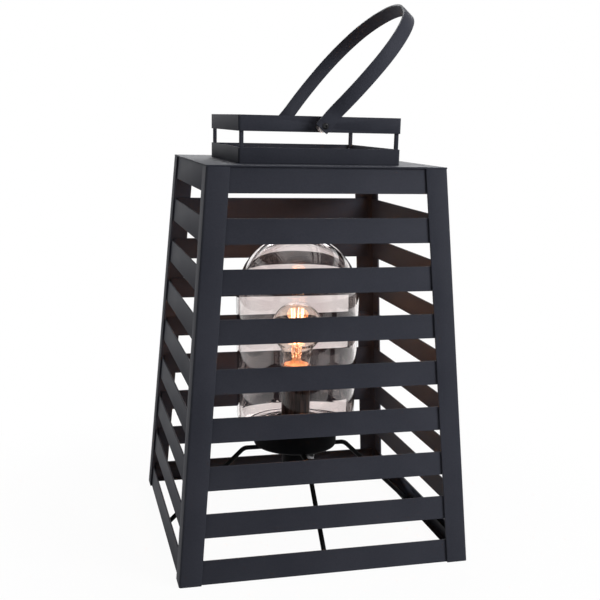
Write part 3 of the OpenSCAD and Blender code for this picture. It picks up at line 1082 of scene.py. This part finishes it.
    def stem(self) -> Piece:
        """Returns the stem with its flare, whose orange glow is painted light standing in for the
        filaments' light on its glass.
        """
        inside = self.foot_radius - self.wall - self.seat
        low = self.foot_z + self.seat
        bend_z = low + self.stem_edge + self.stem_flare
        edge = [(0.0, low), (inside, low), (inside, low + self.stem_edge)]
        edge += arc((inside, bend_z), self.stem_flare, -90.0, -180.0, 8)
        edge += [(r, bend_z + rise) for r, rise in self.stem_neck]
        edge += [(self.stem_tip, self.stick_high + 1.0), (0.0, self.stick_high + 1.6)]
        return lathe("bulb_stem", edge, 32, False)

    def filament_end(self, index: int, upper: bool) -> Vector:
        """Finds an end of one filament.

        Args:
            index: Which filament it is.
            upper: True for its upper end.

        Returns:
            The end's place, in millimetres.
        """
        turn = 2.0 * math.pi * (index + self.first) / self.sticks
        reach, z = self.ring, self.stick_low
        if upper:
            turn += math.radians(self.lean)
            reach += self.flare
            z = self.stick_high
        return Vector((reach * math.cos(turn), reach * math.sin(turn), z))

    def filaments(self) -> Piece:
        """Returns the glowing filaments, a leaning ring of beaded wires."""
        parts = []
        for i in range(self.sticks):
            foot, head = (self.filament_end(i, upper) for upper in (False, True))
            line = [foot.lerp(head, s / (self.rings - 1.0)) for s in range(self.rings)]
            start = i % 3
            radii = [self.bead if k == start else self.thread_wire for k in range(3)]
            parts.append(rows_to_mesh("wire", tube_rows(line, radii, 8), False, 80.0))
        return join("bulb_filaments", parts)

    def spiders(self) -> Piece:
        """Returns the wire spiders that hold the filaments at both ends."""
        parts = []
        for upper, rise in zip((False, True), self.spider_rises):
            up = Vector((0.0, 0.0, rise))
            for i in range(self.sticks):
                end = self.filament_end(i, upper)
                out = Vector((end.x, end.y, 0.0))
                line = [end + up * risen - out * inward for risen, inward in self.spider_line]
                parts.append(rows_to_mesh("wire", tube_rows(line, [self.spider_wire], 6), False, 50.0))
        return join("bulb_spiders", parts)

    def build(self) -> None:
        """Makes and dresses the bulb's pieces."""
        for piece, finish, slot, nodes in (
            (self.envelope(), "bulb_glass", "bulb_glass", ["bulb_envelope"]),
            (self.cap(), "cap_metal", "cap_metal", ["bulb_cap"]),
            (self.contact(), "cap_metal", "cap_metal", []),
            (self.insulator(), "cap_insulator", "cap_metal", []),
            (self.filaments(), "filament_glow", "filament_glow", ["bulb_filament"]),
            (self.stem(), "stem_painted_glow", "filament_glow", []),
            (self.spiders(), "filament_wire", "filament_glow", []),
        ):
            self.shop.dress(piece, finish, Body.BULB, slot, nodes)


@dataclass
class Lampholder(Assembly):
    """The tall tubular lampholder with its porcelain insert.

    Attributes:
        arris: The rounding of its lips.
    """

    arris: float = 0.5

    def build(self) -> None:
        """Makes and dresses the holder and its insert."""
        self.shop.dress_node("holder_body", "holder_black", self.arris)
        self.shop.dress_node("holder_insert", "porcelain", self.arris)


@dataclass
class Stand(Assembly):
    """What carries the light: dish and hub on three bent rods, the fasteners and the cord gland.

    Attributes:
        rod_arris: The rounding of the rods' cut ends.
        dish_arris: The rounding of the dish's and hub's edges.
        wall_z: A height on the dish's upright wall.
        rim_lift: How much higher its rim reaches round the glass.
        small_arris: The rounding of the fasteners' edges.
    """

    rod_arris: float = 0.2
    dish_arris: float = 0.4
    wall_z: float = 100.0
    rim_lift: float = 3.5
    small_arris: float = 0.2

    def build(self) -> None:
        """Makes and dresses the stand's pieces."""
        for leg in ("leg_front", "leg_left", "leg_right"):
            self.shop.dress_node(leg, "black_powder", self.rod_arris)
        dish = self.shop.dress_node("dish", "black_powder", self.dish_arris)
        for vert in dish.data.vertices:
            if vert.co.z > self.wall_z * MM:
                vert.co.z += self.rim_lift * MM
        self.shop.dress_node("hub", "black_powder", self.dish_arris)
        self.shop.dress_node("cord_gland", "black_powder", self.small_arris)
        self.shop.dress_node("stem_fasteners", "zinc_steel", self.small_arris)


@dataclass(frozen=True)
class Softbox:
    """A square soft lamp that faces the lantern's middle.

    Attributes:
        name: The lamp's name.
        place: Where it hangs, in metres.
        width: The length of its sides, in metres.
        power: Its power, in watts.
        tint: The colour of its light.
    """

    name: str
    place: Tuple[float, float, float]
    width: float
    power: float
    tint: Colour = DAYLIGHT

    def hang(self) -> None:
        """Hangs the lamp up."""
        lamp = bpy.data.lights.new(self.name, "AREA")
        lamp.shape = "SQUARE"
        lamp.size = self.width
        lamp.energy = self.power
        lamp.color = self.tint
        made = placed(self.name, lamp)
        made.location = self.place
        inward = Vector((0.0, 0.0, 0.2)) - Vector(self.place)
        made.rotation_euler = inward.to_track_quat("-Z", "Y").to_euler()


@dataclass
class Studio:
    """The pale floor, the white backdrop, the soft lamps, the bulb's own light and the camera.

    Attributes:
        softboxes: The soft lamps.
        bulb_power: The power of the bulb's light, in watts.
        bulb_tint: Its colour.
        bulb_size: The radius that it shines from, in metres.
        bulb_z: Its height, in metres.
        floor_radius: How far the floor reaches, in metres.
        floor_z: The floor's height, in metres, a hair under the lamp's feet.
        floor_fade: The distances between which the floor turns to plain white, in metres.
        floor_white: How much of the floor's look near the lamp is plain white; the rest is paint.
        floor_paint: The grey of the floor's paint.
        dim_paint: The paint's grey where a mirror dims it.
        sky: How strongly the surroundings light the lamp.
        backdrop_side: How far back a mirrored direction points where the backdrop starts and is full.
        floor_side: The depths on the floor between which mirrors show it ever brighter, in metres.
        dim_side: How much of the white a mirror shows on the side without a backdrop.
        dim_aside: How far to the left the middle of that side lies.
        lens: The camera's focal length for a sensor 36 mm wide, in millimetres.
        shift: How far its picture is shifted, as a share of the width.
    """

    softboxes: Tuple[Softbox, ...] = (
        Softbox("key_light", (-1.5, -0.6, 1.6), 1.3, 5.0, (1.0, 0.97, 0.93)),
        Softbox("front_light", (1.2, -1.35, 1.2), 1.0, 40.0),
        Softbox("back_light", (0.5, 1.8, 1.2), 1.2, 24.0),
    )
    bulb_power: float = 0.6
    bulb_tint: Colour = (1.0, 0.42, 0.16)
    bulb_size: float = 0.012
    bulb_z: float = 0.214
    floor_radius: float = 6.0
    floor_z: float = -0.0003
    floor_fade: Span = (0.2, 0.5)
    floor_white: float = 0.96
    floor_paint: float = 0.86
    dim_paint: float = 0.05
    sky: float = 0.07
    backdrop_side: Span = (-0.8, -0.1)
    floor_side: Span = (-0.4, -0.1)
    dim_side: float = 0.1
    dim_aside: float = 0.08
    lens: float = 58.688
    shift: Tuple[float, float] = (-0.019908, 0.113461)

    def dimmed(self, across: Channel, depth: Channel, span: Span) -> Channel:
        """Finds how much mirrors dim a place, as nothing white stands round the photograph's camera.

        Args:
            across: How far to the right the place or direction lies.
            depth: How far back it lies.
            span: The depths where the dimming is full, and where it ends.

        Returns:
            The dimming, 0 for what is seen straight.
        """
        bench = across.bench
        mirrored = Channel(bench, bench.node("ShaderNodeLightPath").outputs["Is Glossy Ray"])
        aside = across + self.dim_aside
        open_side = (depth + aside.larger(aside * -1.0)).ease(*span)
        return mirrored * (1.0 - open_side) * (1.0 - self.dim_side)

    def floor(self) -> None:
        """Makes the pale floor, which fades into the backdrop and keeps the lamp's shadow."""
        bm = bmesh.new()
        bmesh.ops.create_circle(bm, cap_ends=True, segments=96, radius=self.floor_radius)
        for vert in bm.verts:
            vert.co.z = self.floor_z
        made = mesh_object("floor", bm, 180.0)
        bench, material = ShaderBench.for_material("pale_floor")
        x, y, _ = bench.axes()
        fade = ((x * x + y * y) ** 0.5).ease(*self.floor_fade)
        seen = bench.seen_rays()
        dim = self.dimmed(x, y, self.floor_side)
        paint = bench.blend(dim, (self.floor_paint,) * 3, (self.dim_paint,) * 3)
        matt = bench.node("ShaderNodeBsdfDiffuse", None, {"Color": paint}).outputs[0]
        white = bench.node("ShaderNodeEmission", None, {"Color": WHITE, "Strength": 1.0}).outputs[0]
        share = seen * (self.floor_white + fade * (1.0 - self.floor_white)) * (1.0 - dim)
        bench.finish(bench.mix_shaders(share, matt, white))
        made.data.materials.append(material)

    def backdrop(self) -> None:
        """Makes the surroundings white to look at and gentler as light."""
        world = bpy.data.worlds.new("studio")
        world.use_nodes = True
        bpy.context.scene.world = world
        bench = ShaderBench(world.node_tree)
        soft = bench.node("ShaderNodeBackground", None, {"Color": DAYLIGHT, "Strength": self.sky})
        white = bench.node("ShaderNodeBackground", None, {"Color": WHITE, "Strength": 1.0})
        towards = bench.node("ShaderNodeTexCoord").outputs["Generated"]
        split = bench.node("ShaderNodeSeparateXYZ", None, {0: towards})
        across, depth = (Channel(bench, split.outputs[i]) for i in (0, 1))
        shown = bench.seen_rays() * (1.0 - self.dimmed(across, depth, self.backdrop_side))
        mixed = bench.mix_shaders(shown, soft.outputs[0], white.outputs[0])
        bench.finish(mixed, "ShaderNodeOutputWorld")

    def bulb_light(self) -> None:
        """Puts the bulb's warm light on the inside of the cage."""
        lamp = bpy.data.lights.new("bulb_light", "POINT")
        lamp.energy = self.bulb_power
        lamp.color = self.bulb_tint
        lamp.shadow_soft_size = self.bulb_size
        placed("bulb_light", lamp).location = (0.0, 0.0, self.bulb_z)

    def camera(self) -> None:
        """Puts the camera where the photograph was taken from."""
        data = bpy.data.cameras.new("camera")
        data.sensor_width = 36.0
        data.lens = self.lens
        data.shift_x, data.shift_y = self.shift
        data.clip_start = 0.05
        made = placed("camera", data)
        right = (0.966915, -0.254029, 0.023316)
        up = (0.040839, 0.244371, 0.968821)
        back = (-0.251807, -0.935816, 0.246661)
        place = (-0.25492, -1.01407, 0.44228)
        rows = [(right[i], up[i], back[i], place[i]) for i in range(3)]
        made.matrix_world = Matrix((*rows, (0.0, 0.0, 0.0, 1.0)))
        bpy.context.scene.camera = made

    def build(self) -> None:
        """Sets up the whole studio."""
        self.floor()
        self.backdrop()
        for softbox in self.softboxes:
            softbox.hang()
        self.bulb_light()
        self.camera()


def main() -> None:
    """Loads the frame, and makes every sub-assembly and the studio."""
    logging.basicConfig(level=logging.INFO, format="%(name)s: %(message)s")
    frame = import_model()
    shop = Workshop(frame)
    for kind in (Cage, Gallery, CarryHandle, GlassShade, GlobeBulb, Lampholder, Stand):
        before = shop.count
        kind(shop).build()
        LOG.info("%s: %d pieces", kind.__name__, shop.count - before)
    Studio().build()
    bpy.context.scene.view_settings.view_transform = "Standard"


if __name__ == "__main__":
    main()
